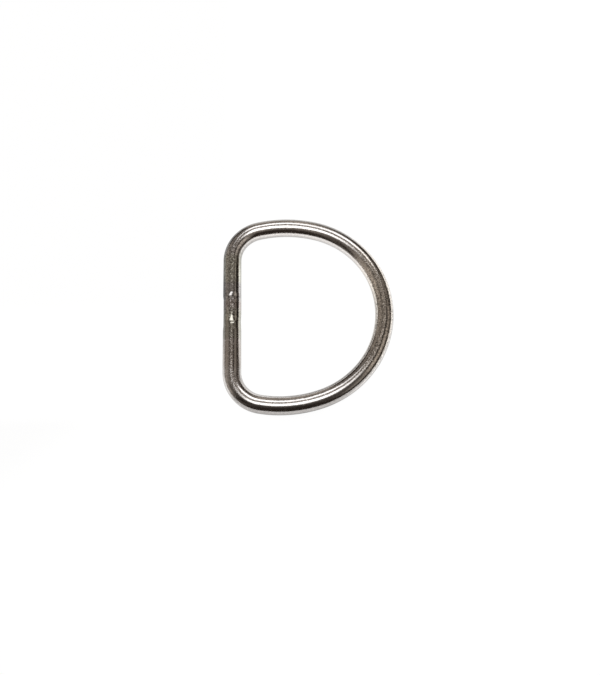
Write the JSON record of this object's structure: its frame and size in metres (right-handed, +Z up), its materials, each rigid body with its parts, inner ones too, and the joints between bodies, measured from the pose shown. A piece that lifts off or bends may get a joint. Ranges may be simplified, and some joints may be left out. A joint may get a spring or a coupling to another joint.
{
  "type": "d ring",
  "caption": "Welded D ring of round nickel-plated steel wire, with a straight leg that a strap folds round and a round bow that a hook or a second strap pulls on.",
  "frame": {"origin": "middle of the ring's outline, on the plane that the lying ring rests on", "axes": "+Z up from the surface the ring lies on, +Y along the straight leg, +X from the leg to the top of the bow"},
  "size_m": [0.0382, 0.0462, 0.0042],
  "materials": {
    "nickel_plate": "polished nickel plate on drawn steel wire, with fine drawing lines and a faint heat tint at the weld"
  },
  "bodies": {
    "root": {"d_ring": "nickel_plate"}
  },
  "joints": []
}
